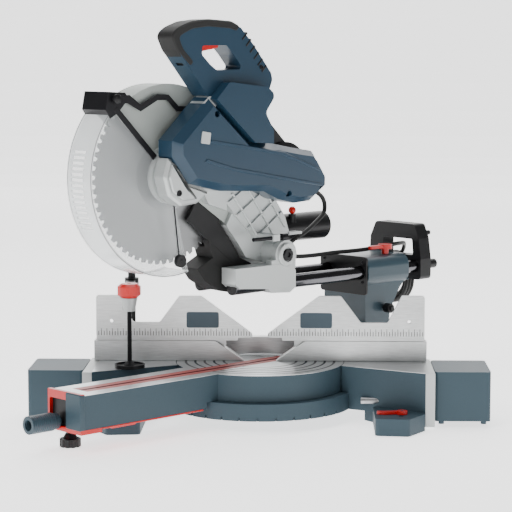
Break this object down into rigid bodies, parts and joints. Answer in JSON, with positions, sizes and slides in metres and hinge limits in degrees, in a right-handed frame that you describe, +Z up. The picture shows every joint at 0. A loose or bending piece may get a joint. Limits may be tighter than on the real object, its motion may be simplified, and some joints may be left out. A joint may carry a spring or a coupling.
{
  "type": "sliding compound mitre saw",
  "caption": "Sliding compound mitre saw with a round turntable, split fence, twin rails, a chop head with D handle and swinging blade guard, and pull-out table extensions.",
  "frame": {"origin": "on the turntable's axis, in the plane of the bench under the bolting lobes", "axes": "+X along the fence to the operator's right, +Y away from the operator, +Z up"},
  "size_m": [0.82, 0.7563, 0.715],
  "materials": {
    "blue_paint": "satin moulded shell with a fine grain",
    "base_paint": "cast alloy under fine textured paint",
    "light_alloy": "as-cast alloy, sand-blasted",
    "bright_alloy": "machined and brushed",
    "black_plastic": "moulded, fine grain",
    "black_steel": "satin black coated steel",
    "red_plastic": "moulded, slightly glossy",
    "insert_plastic": "translucent moulded insert",
    "steel": "turned steel",
    "rail_chrome": "ground and plated",
    "blade_steel": "ground disc",
    "bronze": "sintered bush",
    "copper_core": "laminated core with windings",
    "rubber": "moulded rubber",
    "cord_rubber": "rubber sheath",
    "clear_guard": "clear moulded guard"
  },
  "bodies": {
    "base": {"base_casting": "base_paint", "base_end_plates": "light_alloy", "fixed_fence": "bright_alloy", "clamp_post": "black_steel"},
    "fence_left": {"fence_left": "bright_alloy"},
    "fence_right": {"fence_right": "bright_alloy"},
    "extension_left": {"extension_left": "base_paint", "extension_rods_left": "steel"},
    "extension_right": {"extension_right": "base_paint", "extension_rods_right": "steel"},
    "lever_left": {"extension_lever_left": "red_plastic"},
    "lever_right": {"extension_lever_right": "red_plastic"},
    "clamp_screw": {"clamp_spindle": "black_steel", "clamp_knob": "red_plastic"},
    "table": {"turntable": "base_paint", "table_bolt": "steel", "kerf_inserts": "insert_plastic", "arm_cap": "red_plastic", "bevel_bolt": "steel"},
    "mitre_grip": {"mitre_handle": "blue_paint"},
    "detent": {"detent_lever": "red_plastic"},
    "foot": {"support_foot": "black_plastic"},
    "trunnion": {"trunnion": "base_paint", "slide_bushes": "bronze", "wiper_plate": "black_plastic"},
    "bevel_lever": {"bevel_lever": "red_plastic"},
    "bevel_stop": {"bevel_stop": "black_plastic"},
    "slide_knob": {"slide_knob": "black_plastic"},
    "carriage": {"rails": "rail_chrome", "carrier": "light_alloy", "chop_pivot": "steel", "return_spring": "steel", "rear_bracket": "black_plastic", "lead_rear": "cord_rubber", "lead_coil": "cord_rubber", "mains_plug": "rubber"},
    "head": {"head_casting": "light_alloy", "belt_cover": "blue_paint", "cover_screws": "black_steel", "bearings": "steel", "upper_guard": "light_alloy", "handle": "blue_paint", "motor_housing": "blue_paint", "stator": "copper_core", "drive_belt": "rubber", "dust_chute": "black_plastic", "chute_flap": "rubber", "dust_port": "black_plastic", "depth_bar": "black_steel", "lead_head": "cord_rubber"},
    "lower_guard": {"lower_guard": "clear_guard", "guard_arm": "black_steel"},
    "roller": {"guard_roller": "black_plastic"},
    "link": {"guard_link": "black_steel"},
    "saw_arbor": {"blade": "blade_steel", "arbor": "steel"},
    "armature": {"armature": "copper_core"},
    "trigger": {"trigger": "red_plastic"},
    "lock_off": {"lock_off": "red_plastic"},
    "lock_pin": {"lock_pin": "red_plastic"}
  },
  "joints": [
    {"name": "mitre", "type": "hinge", "parent": "base", "child": "table", "pos_m": [0, 0, 0.1], "axis": [0, 0, 1], "range_deg": [-7, 97]},
    {"name": "bevel", "type": "hinge", "parent": "table", "child": "trunnion", "pos_m": [0.15415, 0.15415, 0.1], "axis": [0.7071, 0.7071, 0], "range_deg": [-14, 14]},
    {"name": "slide", "type": "slide", "parent": "trunnion", "child": "carriage", "axis": [-0.7071, -0.7071, 0], "range_m": [-0.185, 0]},
    {"name": "chop", "type": "hinge", "parent": "carriage", "child": "head", "pos_m": [0.00424, 0.00424, 0.3], "axis": [0.7071, -0.7071, 0], "range_deg": [0, 43]},
    {"name": "guard", "type": "hinge", "parent": "head", "child": "lower_guard", "pos_m": [-0.16405, -0.16405, 0.449], "axis": [0.7071, -0.7071, 0], "range_deg": [-98.9, 0]},
    {"name": "guard_link", "type": "hinge", "parent": "lower_guard", "child": "link", "pos_m": [-0.2489, -0.2489, 0.584], "axis": [0.7071, -0.7071, 0], "range_deg": [0, 98.9]},
    {"name": "roller_spin", "type": "hinge", "parent": "lower_guard", "child": "roller", "pos_m": [-0.15061, -0.15061, 0.303], "axis": [0.7071, -0.7071, 0], "continuous": true},
    {"name": "blade_spin", "type": "hinge", "parent": "head", "child": "saw_arbor", "pos_m": [-0.16405, -0.16405, 0.449], "axis": [0.7071, -0.7071, 0], "continuous": true},
    {"name": "motor_spin", "type": "hinge", "parent": "head", "child": "armature", "pos_m": [0.02828, 0.02828, 0.445], "axis": [0.7071, -0.7071, 0], "continuous": true},
    {"name": "fence_left_slide", "type": "slide", "parent": "base", "child": "fence_left", "axis": [1, 0, 0], "range_m": [-0.11, 0]},
    {"name": "fence_right_slide", "type": "slide", "parent": "base", "child": "fence_right", "axis": [1, 0, 0], "range_m": [0, 0.11]},
    {"name": "extension_left_slide", "type": "slide", "parent": "base", "child": "extension_left", "axis": [-1, 0, 0], "range_m": [0, 0.09]},
    {"name": "extension_right_slide", "type": "slide", "parent": "base", "child": "extension_right", "axis": [1, 0, 0], "range_m": [0, 0.09]},
    {"name": "lever_left_turn", "type": "hinge", "parent": "base", "child": "lever_left", "pos_m": [-0.252, -0.135, 0.03], "axis": [0, 0, 1], "range_deg": [-60, 0]},
    {"name": "lever_right_turn", "type": "hinge", "parent": "base", "child": "lever_right", "pos_m": [0.252, -0.135, 0.03], "axis": [0, 0, 1], "range_deg": [0, 60]},
    {"name": "clamp_travel", "type": "slide", "parent": "base", "child": "clamp_screw", "axis": [0, 0, 1], "range_m": [0, 0.09]},
    {"name": "mitre_lock", "type": "hinge", "parent": "table", "child": "mitre_grip", "pos_m": [-0.32527, -0.29698, 0.05], "axis": [0.7071, 0.7071, 0], "range_deg": [0, 90]},
    {"name": "detent_lift", "type": "hinge", "parent": "table", "child": "detent", "pos_m": [-0.10677, -0.15486, 0.038], "axis": [0.7071, -0.7071, 0], "range_deg": [0, 0.8]},
    {"name": "foot_screw", "type": "slide", "parent": "table", "child": "foot", "axis": [0, 0, 1], "range_m": [0, 0.008]},
    {"name": "bevel_lock", "type": "hinge", "parent": "trunnion", "child": "bevel_lever", "pos_m": [0.23405, 0.19021, 0.28], "axis": [0, 0, 1], "range_deg": [0, 60]},
    {"name": "bevel_stop_push", "type": "slide", "parent": "trunnion", "child": "bevel_stop", "axis": [0.7071, -0.7071, 0], "range_m": [0, 0.006]},
    {"name": "slide_lock", "type": "hinge", "parent": "trunnion", "child": "slide_knob", "pos_m": [0.15415, 0.239, 0.2475], "axis": [0.7071, -0.7071, 0], "range_deg": [0, 180]},
    {"name": "trigger_pull", "type": "slide", "parent": "head", "child": "trigger", "axis": [0, 0, 1], "range_m": [0, 0.005]},
    {"name": "lock_off_push", "type": "slide", "parent": "head", "child": "lock_off", "axis": [0.7071, -0.7071, 0], "range_m": [0, 0.004]},
    {"name": "lock_pin_push", "type": "slide", "parent": "head", "child": "lock_pin", "axis": [0, 0, 1], "range_m": [0, 0.006]}
  ],
  "couplings": [
    {"joint": "guard", "follows": "chop", "ratio": -2.3},
    {"joint": "guard_link", "follows": "chop", "ratio": 2.3},
    {"joint": "motor_spin", "follows": "blade_spin", "ratio": 1.6667}
  ]
}
